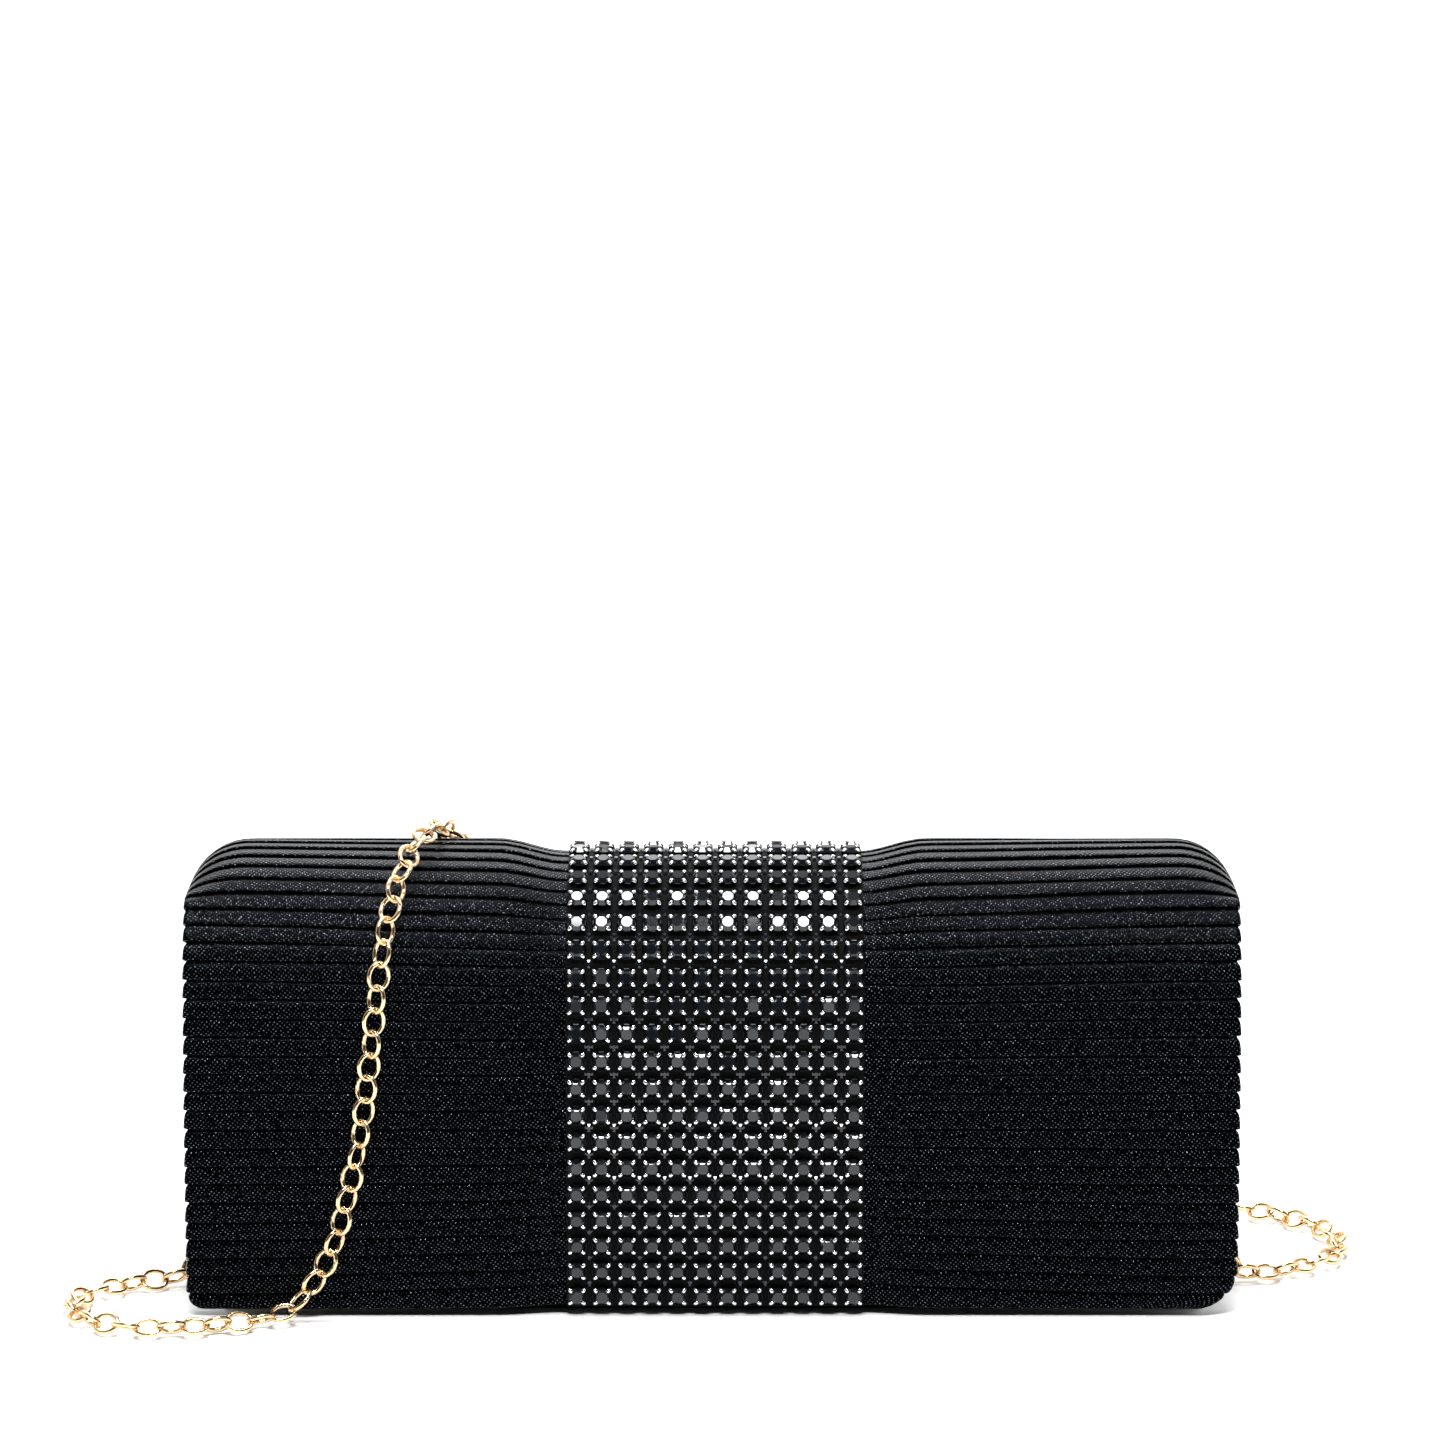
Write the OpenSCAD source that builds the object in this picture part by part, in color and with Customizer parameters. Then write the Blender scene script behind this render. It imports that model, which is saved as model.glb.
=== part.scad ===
// Evening bag: a hard-sided flap clutch with a pleated satin cover, a rhinestone band and a chain.
// +X is to the right seen from the front, the front faces -Y, +Z is up. The origin is the middle of
// the base.

/* [Bag] */
// Width over the flap
bag_w = 250; // [240:1:260]
// Depth from the front pleats to the back pleats
bag_d = 58; // [56:1:60]
// Height to the top of the pleats
bag_h = 109; // [104:1:116]
// How far each end of the flap reaches past the side of the pouch
flap_overhang = 8; // [7:0.5:10]
// Gap between the flap's lower edge and the ground
flap_lift = 1.8; // [1:0.1:4]

/* [Corners of the flap, seen from the front] */
// Radius of the two top corners
top_corner = 12; // [6:1:18]
// Radius of the bottom corner on the left
left_corner = 4; // [3:0.5:12]
// Radius of the bottom corner on the right
right_corner = 10; // [3:0.5:12]

/* [Cloth and board] */
// Pleated satin with its padding
pleat_t = 2.8; // [2.4:0.1:3.2]
// Plain satin on the pouch
satin_t = 0.6; // [0.4:0.1:0.8]
// Lining satin
lining_t = 0.4; // [0.3:0.1:0.5]
// Greyboard in the flap
flap_board_t = 1.5; // [1:0.1:2]
// Greyboard in the front and the sides
wall_board_t = 1.8; // [1.5:0.1:2]
// Greyboard in the back and the base
back_board_t = 2; // [1.5:0.1:2.5]

/* [Rhinestone band] */
// Columns of stones across the band
band_columns = 12; // [8:1:14]
// Rows of stones from the flap's lower edge to its hinge
band_rows = 24; // [20:1:24]
// Distance between columns
column_pitch = 5.97; // [5.7:0.01:6.3]
// Distance between rows, along the cloth
row_pitch = 6.4; // [6.2:0.01:6.5]
// Diameter of a stone
stone_d = 4.5; // [4:0.1:5]

/* [Magnetic snap] */
// Diameter of both halves
snap_d = 18; // [14:1:18]
// Height of the snap's middle over the ground
snap_z = 22; // [18:1:40]

/* [Chain] */
// Width of a link
chain_d = 5.3; // [4:0.1:5.3]
// Wire of the D-rings
ring_wire = 1.6; // [1.2:0.1:1.6]

/* [Hidden] */
$fn = 64;

satin = "#12171d";
lining = "#1b1c1f";
board = "#a89b88";
gold = "#d9b36a";
gunmetal = "#7c7f82";
jet = "#0d0f12";
steel = "#b9bcc0";

// The dome: the flap is a half round of this radius on a straight front
dome_r = bag_d / 2;
dome_z = bag_h - dome_r;
board_r = dome_r - pleat_t;
lining_r = board_r - flap_board_t;
inner_r = lining_r - lining_t;

// The hinge: the flap turns about a rolled fold of the cloth along the top of the back
hinge_r = 1.2;
hinge_y = dome_r - 0.9;
hinge_gap = 0.4;

// The snap: the stud is on the flap, the socket on the front of the pouch
snap_disc_t = 1.4;
snap_gap = 0.2;
stud_nub_r = 3;
stud_nub_h = 1;
socket_h = 2.1;
socket_bore_r = 4.5;
snap_washer_t = 0.4;
snap_leg_x = 4.5;

// The pouch, from its outer faces inwards
pouch_x = bag_w / 2 - flap_overhang;
board_x = pouch_x - satin_t;
room_x = board_x - wall_board_t;
clear_x = room_x - lining_t;
front_y = -inner_r + snap_disc_t + snap_gap + socket_h;
front_board_y = front_y + satin_t;
front_room_y = front_board_y + wall_board_t;
front_clear_y = front_room_y + lining_t;
back_cover_y = dome_r - pleat_t;
back_board_y = back_cover_y - back_board_t;
back_clear_y = back_board_y - lining_t;
base_board_z = satin_t;
base_room_z = base_board_z + back_board_t;
base_clear_z = base_room_z + lining_t;
mouth_z = dome_z - 2;
back_top_z = dome_z - hinge_r;
side_r = -front_y;
binding_t = 0.8;
back_cover_x = pouch_x + 2;

// The rhinestone band lies in a groove that it presses into the padded cover
groove_r = board_r + 0.4;
net_r = groove_r + 0.4;
cup_h = 1.2;
cup_r = stone_d / 2 + 0.2;
band_half = band_columns * column_pitch / 2 - 0.4;
first_row = 2.6;
small_stone_r = 1.1;

// The strap fittings hang beside the pouch, in this plane
hang_x = pouch_x + 3.4;
ring_z = dome_z + 4;
ring_half = 5.2;
ring_leg = 2.5;
wire_r = ring_wire / 2;
tab_half = 4;
tab_h = 12;
hook_z = ring_z - ring_leg - ring_half;
hook_r = 3.1;
hook_bore = 1.6;
hook_half_t = 1.2;
gate_u = 2.1;
gate_z = hook_z - 7.6;
eye_z = hook_z - 15;
eye_r = 2.4;
eye_bore = 1.4;
eye_half_t = 0.6;
link_r = 2.2;
link_wire_r = 0.5;
link_z = eye_z - link_r - 0.6;

// The chain's route in millimetres, from the left clasp to the right one. It hangs from the left
// side of the pouch and turns in a loop on the ground to the front.
left_route = [
    [-120.4, 0, 55.6], [-120.4, 0, 40], [-120.4, 0, 27], [-120.6, -0.3, 16],
    [-122, -1, 8.5], [-125.8, -2.5, 4], [-131.5, -4.5, 2.8], [-138, -7.5, 2.8],
    [-144.5, -12, 2.8], [-150, -18.5, 2.8], [-152.3, -26, 2.8], [-150.5, -34, 2.8],
    [-146, -41, 2.8], [-139, -45.5, 2.8], [-131, -47, 2.8], [-121, -45.5, 2.8],
    [-112, -42.5, 2.8], [-104, -38.5, 2.8]];
// Up the front, over the top and down the back
drape_route = [
    [-103.5, -38.1, 2.8], [-99.5, -34.8, 4], [-95.5, -32.8, 8], [-92, -32.2, 13],
    [-89, -32.2, 20], [-86.8, -32.2, 28], [-84.8, -32.2, 36], [-83, -32.2, 45],
    [-81.5, -32.2, 56], [-80.2, -32.2, 67], [-78.8, -32.2, 79], [-77.7, -31.1, 88.3],
    [-76.3, -27.9, 96.1], [-74.5, -22.8, 102.8], [-72.4, -16.1, 107.9], [-70, -8.3, 111.1],
    [-67.4, 0, 112.2], [-64.8, 8.3, 111.1], [-62.4, 16.1, 107.9], [-60.5, 22.8, 102.8],
    [-59, 27.9, 96.1], [-57.8, 31.1, 88.3], [-56.8, 32.6, 78], [-55.8, 32.8, 64],
    [-54.8, 33, 50], [-53.9, 33.2, 36], [-52.8, 33.6, 22], [-51.2, 34.6, 12],
    [-47, 36, 5.5], [-39.5, 37.2, 3], [-30, 37.8, 2.8]];
// The slack folded behind the bag, then the loop at the right up to the right clasp
back_route = [
    [-29.6, 37.8, 2.8], [0, 38, 2.8], [30, 38, 2.8], [52, 38, 2.8], [60, 36.6, 2.8],
    [68, 35.6, 2.8], [75.5, 38.5, 2.8], [78.6, 46, 2.8], [75.5, 53.5, 2.8],
    [68, 56.6, 2.8], [60, 55.4, 2.8], [52, 54, 2.8], [26, 54, 2.8], [0, 54, 2.8],
    [-26, 54, 2.8], [-42, 54, 2.8], [-50, 52.6, 2.8], [-58, 51.4, 2.8],
    [-65.5, 54.5, 2.8], [-68.6, 62, 2.8], [-65.5, 69.5, 2.8], [-58, 72.6, 2.8],
    [-50, 71.4, 2.8], [-42, 70, 2.8], [-10, 70, 2.8], [25, 70, 2.8], [60, 69.8, 2.8],
    [95, 68.6, 2.8], [112, 67.2, 2.8], [122, 65.5, 2.8], [129, 62.5, 2.8],
    [137, 57.5, 2.8], [143.5, 51.5, 2.8], [149.5, 44.5, 2.8], [153, 35.5, 2.8],
    [154, 26, 2.8], [151.5, 16.5, 2.8], [145, 8.5, 2.8], [137.5, 3, 2.8],
    [130, 0.6, 2.9], [125.2, 0, 4.4], [121.8, 0, 9], [120.6, 0, 17],
    [120.4, 0, 28], [120.4, 0, 40], [120.4, 0, 55.6]];

// ---- Shapes that several sub-parts share ----

// A flat plate between two corners
module block(low, high) {
    translate(low)
        cube(high - low);
}

// A profile drawn in Y and Z, made wide along X
module along_x(width) {
    rotate([90, 0, 90])
        linear_extrude(height = width, center = true)
            children();
}

// Where the cloth is at a distance along it from the flap's lower edge
function cloth_z(along) = flap_lift + along;
function cloth_angle(along) = max(0, cloth_z(along) - dome_z) / net_r * 180 / PI;

// A shape drawn flat on Z = 0, stood up on the flap at radius r
module on_cloth(x, along, r) {
    translate([x, 0, min(cloth_z(along), dome_z)])
        rotate([cloth_angle(along) > 0 ? -cloth_angle(along) : 0, 0, 0])
            translate([0, -r, 0])
                rotate([90, 0, 0])
                    children();
}

// The flap's section between two radii, like a walking stick: half round with a straight front
module cane(outer, inner, lift) {
    difference() {
        union() {
            translate([0, dome_z])
                circle(r = outer);
            translate([-outer, lift])
                square([outer, dome_z - lift]);
        }
        translate([0, dome_z])
            circle(r = inner);
        translate([-inner, lift - 1])
            square([inner + outer + 1, dome_z - lift + 1]);
        translate([0, lift - 1])
            square([outer + 1, dome_z + hinge_r + hinge_gap - lift + 1]);
    }
}

// The flap's outline from the front, set in from its edge by a margin
module flap_outline(margin) {
    half = bag_w / 2 - margin;
    low = flap_lift + margin;
    high = bag_h + 1 - margin / 4;
    rt = top_corner;
    rl = left_corner;
    rr = right_corner;
    top = bag_h - margin;
    translate([-half, low + rl])
        square([rl, top - rt - low - rl]);
    translate([-half + rl, low])
        square([2 * half - rl - rr, top - rt - low]);
    translate([half - rr, low + rr])
        square([rr, top - rt - low - rr]);
    translate([-half + rt, top - rt])
        square([2 * half - 2 * rt, high - top + rt]);
    translate([-half + rl, low + rl])
        circle(r = rl);
    translate([half - rr, low + rr])
        circle(r = rr);
    for (side = [-1, 1])
        translate([side * (half - rt), top - rt])
            circle(r = rt);
}

module flap_shell(outer, inner, margin) {
    intersection() {
        along_x(bag_w)
            cane(outer, inner, flap_lift + margin);
        rotate([90, 0, 0])
            linear_extrude(height = 3 * bag_d, center = true)
                flap_outline(margin);
    }
}

// The side of the pouch, drawn in Y and Z: upright, with a round top that fits under the dome
module side_outline(front, back, low, radius) {
    translate([front, low])
        square([back - front, dome_z - 6 - low]);
    translate([-radius, dome_z - 6 - 0.01])
        square([2 * radius, 6.01]);
    translate([0, dome_z])
        circle(r = radius);
}

// A tube swept along a list of points
function unit(v) = v / norm(v);
function heading(route, i) = unit(route[min(i + 1, len(route) - 1)] - route[max(i - 1, 0)]);
function first_normal(t) = unit(cross(t, abs(t[2]) > 0.9 ? [1, 0, 0] : [0, 0, 1]));
function normal_at(route, i) = i == 0
    ? first_normal(heading(route, 0))
    : let (n = normal_at(route, i - 1), t = heading(route, i)) unit(n - (n * t) * t);
function ring_at(route, i, r, sides) =
    let (t = heading(route, i), n = normal_at(route, i), b = cross(t, n))
    [for (k = [0 : sides - 1])
        route[i] + r * (cos(360 * k / sides) * n + sin(360 * k / sides) * b)];
module tube(route, r, sides = 8) {
    last = len(route) - 1;
    points = [for (i = [0 : last]) each ring_at(route, i, r, sides)];
    walls = [for (i = [0 : last - 1], k = [0 : sides - 1])
        [i * sides + k, i * sides + (k + 1) % sides,
            (i + 1) * sides + (k + 1) % sides, (i + 1) * sides + k]];
    start = [for (k = [0 : sides - 1]) sides - 1 - k];
    end = [for (k = [0 : sides - 1]) last * sides + k];
    polyhedron(points, concat([start], walls, [end]), convexity = 8);
}

// ---- Pouch: greyboards ----

module back_board() {
    color(board)
        block([-board_x, back_board_y, base_room_z], [board_x, back_cover_y, back_top_z]);
}

module front_board() {
    color(board)
        difference() {
            block([-board_x, front_board_y, base_room_z], [board_x, front_room_y, mouth_z]);
            snap_leg_holes(front_board_y - 1, front_room_y + 1);
            washer_seat(front_room_y - snap_washer_t);
        }
}

module base_board() {
    color(board)
        block([-board_x, front_board_y, base_board_z], [board_x, back_cover_y, base_room_z]);
}

module side_board(side) {
    color(board)
        translate([side * (board_x + room_x) / 2, 0, 0])
            along_x(wall_board_t)
                side_outline(front_room_y, back_board_y, base_room_z, side_r - satin_t - wall_board_t);
}

// ---- Pouch: satin covers ----

module back_cover() {
    color(satin)
        block([-back_cover_x, back_cover_y, 0], [back_cover_x, dome_r, back_top_z]);
}

module front_cover() {
    color(satin)
        difference() {
            block([-pouch_x, front_y, base_board_z], [pouch_x, front_board_y, mouth_z]);
            snap_leg_holes(front_y - 1, front_board_y + 1);
        }
}

module base_cover() {
    color(satin)
        block([-pouch_x, front_y, 0], [pouch_x, back_cover_y, base_board_z]);
}

module side_cover(side) {
    color(satin)
        translate([side * (pouch_x + board_x) / 2, 0, 0])
            along_x(satin_t)
                side_outline(front_board_y, back_cover_y, base_board_z, side_r - satin_t);
}

// ---- Pouch: lining, pocket and bound edges ----

module back_lining() {
    color(lining)
        block([-room_x, back_clear_y, base_clear_z], [room_x, back_board_y, back_top_z]);
}

module front_lining() {
    color(lining)
        block([-room_x, front_room_y, base_clear_z], [room_x, front_clear_y, mouth_z]);
}

module base_lining() {
    color(lining)
        block([-room_x, front_room_y, base_room_z], [room_x, back_board_y, base_clear_z]);
}

module side_lining(side) {
    color(lining)
        translate([side * (room_x + clear_x) / 2, 0, 0])
            along_x(lining_t)
                side_outline(front_clear_y, back_clear_y, base_clear_z,
                    side_r - satin_t - wall_board_t - lining_t);
}

// A patch sewn to the back lining on three sides, open at the top
module slip_pocket() {
    half = 60;
    low = 22;
    high = 68;
    seam = 3;
    slack = 0.8;
    color(lining)
        difference() {
            block([-half, back_clear_y - slack - lining_t, low], [half, back_clear_y, high]);
            block([-half + seam, back_clear_y - slack, low + seam],
                [half - seam, back_clear_y + 1, high + 1]);
        }
}

module front_binding() {
    color(satin)
        block([-clear_x, front_y, mouth_z], [clear_x, front_clear_y, mouth_z + binding_t]);
}

module side_binding(side) {
    color(satin)
        translate([side * (pouch_x + clear_x) / 2, 0, 0])
            along_x(pouch_x - clear_x)
                difference() {
                    translate([0, dome_z])
                        circle(r = side_r - satin_t + binding_t);
                    translate([0, dome_z])
                        circle(r = side_r - satin_t);
                    translate([-bag_d, -1])
                        square([2 * bag_d, dome_z + 1]);
                }
}

// The fold of cloth that the flap turns on
module hinge_roll() {
    color(satin)
        translate([-pouch_x, hinge_y, dome_z])
            rotate([0, 90, 0])
                cylinder(h = 2 * pouch_x, r = hinge_r);
}

// ---- Magnetic snap ----

// A round drawn on the snap's centre line, from y_low to y_high
module snap_round(r, y_low, y_high) {
    translate([0, y_high, snap_z])
        rotate([90, 0, 0])
            cylinder(h = y_high - y_low, r = r);
}

// The two folded legs of a snap half, and the slots they go through
module snap_legs(y_low, y_high, half_w, half_t) {
    for (side = [-1, 1])
        block([side * snap_leg_x - half_t, y_low, snap_z - half_w],
            [side * snap_leg_x + half_t, y_high, snap_z + half_w]);
}

module snap_leg_holes(y_low, y_high) {
    snap_legs(y_low, y_high, 1.7, 0.5);
}

module washer_seat(y_low) {
    snap_round(8, y_low, y_low + 10);
}

module snap_socket() {
    face = front_y - socket_h;
    color(steel)
        difference() {
            union() {
                snap_round(snap_d / 2, face, front_y);
                snap_legs(front_y - 0.1, front_room_y - snap_washer_t, 1.5, 0.3);
            }
            snap_round(socket_bore_r, face - 1, face + 1.5);
            difference() {
                snap_round(snap_d / 2 - 0.8, face + 0.4, front_y - 0.3);
                snap_round(socket_bore_r + 0.5, face, front_y);
            }
        }
}

module snap_magnet() {
    face = front_y - socket_h;
    color("#3c3d40")
        difference() {
            snap_round(snap_d / 2 - 0.8, face + 0.4, front_y - 0.3);
            snap_round(socket_bore_r + 0.5, face, front_y);
        }
}

module snap_socket_washer() {
    color(steel)
        snap_round(7.8, front_room_y - snap_washer_t, front_room_y);
}

module snap_stud() {
    color(steel) {
        snap_round(snap_d / 2, -inner_r, -inner_r + snap_disc_t);
        snap_round(stud_nub_r, -inner_r, -inner_r + snap_disc_t + stud_nub_h);
        snap_legs(-board_r, -inner_r + 0.1, 1.5, 0.3);
    }
}

module snap_stud_washer() {
    color(steel)
        snap_round(7.8, -board_r - snap_washer_t, -board_r);
}

// ---- Flap ----

module flap_board() {
    color(board)
        difference() {
            flap_shell(board_r, lining_r, 1.5);
            snap_leg_holes(-board_r - 1, -lining_r + 1);
        }
}

module flap_lining() {
    color(lining)
        difference() {
            flap_shell(lining_r, inner_r, 3);
            snap_leg_holes(-lining_r - 1, -inner_r + 1);
        }
}

// The pleated cover, with the groove for the band and a seat for the snap's washer
module flap_cover() {
    color(satin)
        difference() {
            flap_shell(dome_r, board_r, 0);
            along_x(2 * band_half)
                cane(dome_r + 2, groove_r, 0);
            snap_round(7.9, -board_r - snap_washer_t, -board_r + 1);
        }
}

module band_net() {
    color(jet)
        along_x(2 * band_half - 0.1)
            cane(net_r, groove_r, flap_lift);
}

function column_x(i) = (i - (band_columns - 1) / 2) * column_pitch;

module band_cups() {
    color(gunmetal)
        for (i = [0 : band_columns - 1], j = [0 : band_rows - 1])
            on_cloth(column_x(i), first_row + j * row_pitch, net_r)
                cylinder(h = cup_h, r = cup_r, $fn = 24);
}

module band_stones() {
    color(jet)
        for (i = [0 : band_columns - 1], j = [0 : band_rows - 1])
            on_cloth(column_x(i), first_row + j * row_pitch, net_r + cup_h)
                cylinder(h = dome_r + 0.3 - net_r - cup_h, r1 = stone_d / 2, r2 = 1.35, $fn = 24);
}

module band_small_stones() {
    color(jet)
        for (i = [0 : band_columns - 2], j = [0 : band_rows - 2])
            on_cloth((column_x(i) + column_x(i + 1)) / 2, first_row + (j + 0.5) * row_pitch, net_r)
                cylinder(h = 0.8, r = small_stone_r, $fn = 16);
}

// ---- Strap fittings; each is drawn for the left and mirrored for the right ----

module on_side(side) {
    if (side < 0)
        children();
    else
        mirror([1, 0, 0])
            children();
}

// A folded tab of satin, sewn flat to the side of the pouch, with the ring's bar in its fold
module ring_tab(side) {
    fold_r = 1.8;
    color(satin)
        on_side(side)
            difference() {
                union() {
                    block([-pouch_x - 2.4, -tab_half, ring_z - 0.5],
                        [-pouch_x, tab_half, ring_z + tab_h]);
                    translate([-hang_x, tab_half, ring_z])
                        rotate([90, 0, 0])
                            cylinder(h = 2 * tab_half, r = fold_r);
                }
                translate([-hang_x, tab_half + 1, ring_z])
                    rotate([90, 0, 0])
                        cylinder(h = 2 * tab_half + 2, r = wire_r + 0.2);
            }
}

// A D-ring: a straight bar, two short legs and half a round
module d_ring(side) {
    color(gold)
        on_side(side)
            translate([-hang_x, 0, ring_z]) {
                translate([0, ring_half, 0])
                    rotate([90, 0, 0])
                        cylinder(h = 2 * ring_half, r = wire_r, $fn = 32);
                for (end = [-1, 1]) {
                    translate([0, end * ring_half, 0])
                        sphere(r = wire_r, $fn = 32);
                    translate([0, end * ring_half, -ring_leg])
                        cylinder(h = ring_leg, r = wire_r, $fn = 32);
                }
                translate([0, 0, -ring_leg])
                    rotate([90, 0, 90])
                        rotate_extrude(angle = -180)
                            translate([ring_half, 0])
                                circle(r = wire_r, $fn = 32);
            }
}

// The body of a lobster clasp, in the X-Z plane: hook, spine, slotted grip and tail eye
module clasp(side) {
    color(gold)
        on_side(side)
            translate([-hang_x, 0, 0])
                difference() {
                    union() {
                        clasp_plate(hook_half_t) {
                            translate([0, hook_z])
                                circle(r = hook_r);
                            translate([-hook_r, hook_z - 1.1])
                                square([2 * hook_r, 1.1]);
                            translate([hook_bore, hook_z - 7])
                                square([hook_r - hook_bore, 7]);
                            translate([-hook_r, hook_z - 12])
                                square([2 * hook_r, 5.6]);
                        }
                        clasp_plate(eye_half_t) {
                            translate([-1.3, eye_z])
                                square([2.6, 4]);
                            translate([0, eye_z])
                                circle(r = eye_r);
                        }
                    }
                    clasp_plate(hook_half_t + 1) {
                        translate([0, hook_z])
                            circle(r = hook_bore);
                        translate([-hook_bore, hook_z - 6.4])
                            square([2 * hook_bore, 6.4]);
                        translate([0, eye_z])
                            circle(r = eye_bore);
                    }
                    clasp_plate(0.65)
                        translate([-hook_r - 1, hook_z - 10.6])
                            square([hook_r + 1.6, 9.4]);
                    gate_pin_shape(0.5, hook_half_t + 1);
                }
}

// Anything drawn in X and Z, this far to each side of the clasp's middle plane
module clasp_plate(half_t) {
    rotate([90, 0, 0])
        linear_extrude(height = 2 * half_t, center = true)
            children();
}

module gate_pin_shape(r, half_l) {
    translate([-gate_u, half_l, gate_z])
        rotate([90, 0, 0])
            cylinder(h = 2 * half_l, r = r, $fn = 32);
}

// The sprung gate that shuts the hook, with the nub for the thumb
module gate(side) {
    color(gold)
        on_side(side)
            translate([-hang_x, 0, 0])
                difference() {
                    clasp_plate(0.5) {
                        translate([-gate_u, gate_z])
                            circle(r = 1);
                        translate([-gate_u - 0.9, gate_z])
                            square([1.3, hook_z - 1.3 - gate_z]);
                        translate([-gate_u - 1.7, gate_z - 0.5])
                            square([1.4, 1]);
                    }
                    gate_pin_shape(0.6, 2);
                }
}

module gate_pin(side) {
    color(gold)
        on_side(side)
            translate([-hang_x, 0, 0])
                gate_pin_shape(0.5, hook_half_t);
}

// The jump ring that joins the clasp's eye to the chain
module jump_ring(side) {
    color(gold)
        on_side(side)
            translate([-hang_x, 0, link_z])
                rotate([0, 90, 0])
                    rotate_extrude($fn = 48)
                        translate([link_r, 0])
                            circle(r = link_wire_r, $fn = 24);
}

// ---- Chain ----

module chain_left() {
    color(gold)
        tube(left_route, chain_d / 2);
}

module chain_drape() {
    color(gold)
        tube(drape_route, chain_d / 2);
}

module chain_back() {
    color(gold)
        tube(back_route, chain_d / 2);
}

back_board();
front_board();
base_board();
side_board(-1);  // side_board_left
side_board(1);  // side_board_right
back_cover();
front_cover();
base_cover();
side_cover(-1);  // side_cover_left
side_cover(1);  // side_cover_right
back_lining();
front_lining();
base_lining();
side_lining(-1);  // side_lining_left
side_lining(1);  // side_lining_right
slip_pocket();
front_binding();
side_binding(-1);  // side_binding_left
side_binding(1);  // side_binding_right
hinge_roll();
snap_socket();
snap_magnet();
snap_socket_washer();
ring_tab(-1);  // ring_tab_left
ring_tab(1);  // ring_tab_right
flap_board();
flap_cover();
flap_lining();
band_net();
band_cups();
band_stones();
band_small_stones();
snap_stud();
snap_stud_washer();
d_ring(-1);  // ring_left
d_ring(1);  // ring_right
clasp(-1);  // clasp_left
clasp(1);  // clasp_right
gate(-1);  // gate_left
gate(1);  // gate_right
gate_pin(-1);  // gate_pin_left
gate_pin(1);  // gate_pin_right
jump_ring(-1);  // jump_ring_left
jump_ring(1);  // jump_ring_right
chain_left();
chain_drape();
chain_back();
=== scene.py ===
# Evening bag: a clutch with a flap in pleated satin, a rhinestone band and a slim chain.
# The sections follow the bag as it is put together. Shapes are worked out in millimetres.
import math

import bmesh
import bpy
import numpy as np
from mathutils import Matrix, Vector


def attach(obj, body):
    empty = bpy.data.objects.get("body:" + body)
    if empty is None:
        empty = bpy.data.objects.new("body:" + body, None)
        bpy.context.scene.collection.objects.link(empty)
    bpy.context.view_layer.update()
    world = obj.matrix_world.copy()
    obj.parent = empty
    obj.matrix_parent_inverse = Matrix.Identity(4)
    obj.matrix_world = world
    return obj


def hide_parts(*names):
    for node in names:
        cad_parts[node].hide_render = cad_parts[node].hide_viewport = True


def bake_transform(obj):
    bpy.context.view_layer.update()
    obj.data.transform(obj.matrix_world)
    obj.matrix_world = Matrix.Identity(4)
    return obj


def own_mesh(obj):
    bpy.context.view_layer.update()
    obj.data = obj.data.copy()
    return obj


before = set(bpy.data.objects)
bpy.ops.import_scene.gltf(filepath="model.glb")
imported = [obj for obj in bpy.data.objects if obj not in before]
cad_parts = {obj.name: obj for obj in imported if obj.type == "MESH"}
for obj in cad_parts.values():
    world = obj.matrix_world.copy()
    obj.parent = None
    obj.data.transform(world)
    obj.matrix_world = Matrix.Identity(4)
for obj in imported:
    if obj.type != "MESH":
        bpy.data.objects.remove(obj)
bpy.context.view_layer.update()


# ---- Camera: a long lens, a little above the bag and straight in front of it ----
# It is placed from the flap's lower front edge. The view is a square 342.1 mm wide at that edge,
# and its middle is 140.3 mm above the edge, so the bag stands in the lower half.
front_edge = Vector((0.0019, -0.029, 0.0018))
camera_distance = 1.6
camera_pitch = math.radians(11)
above_edge = 0.1403
view_width = 0.3421
look = Vector((0, math.cos(camera_pitch), -math.sin(camera_pitch)))
up = Vector((0, math.sin(camera_pitch), math.cos(camera_pitch)))
camera_data = bpy.data.cameras.new("camera")
camera_data.lens = camera_data.sensor_width * camera_distance / view_width
camera_data.clip_start = 0.05
camera_data.clip_end = 60
camera = bpy.data.objects.new("camera", camera_data)
camera.location = front_edge - camera_distance * look + above_edge * up
camera.rotation_euler = (math.pi / 2 - camera_pitch, 0, 0)
bpy.context.collection.objects.link(camera)
bpy.context.scene.camera = camera


# ---- Chain: gold-plated oval cable links, each leaning the other way from the next ----
# One link is bent from 1.2 mm wire, 7.6 mm long and 6.1 mm wide. The chain hangs from the left
# clasp, turns on the ground, goes over the bag, lies folded behind it and rises to the right.
mm = 0.001
rng = np.random.RandomState(11)


def hex_color(code):
    """The linear colour of an sRGB hex value."""
    values = [int(code[i:i + 2], 16) / 255 for i in (1, 3, 5)]
    linear = [v / 12.92 if v <= 0.04045 else ((v + 0.055) / 1.055) ** 2.4 for v in values]
    return (*linear, 1)


def new_material(name, **sockets):
    """A material with a Principled shader, some of whose sockets are set."""
    material = bpy.data.materials.new(name)
    material.use_nodes = True
    shader = material.node_tree.nodes["Principled BSDF"]
    for socket, value in sockets.items():
        shader.inputs[socket.replace("_", " ")].default_value = value
    return material


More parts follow.
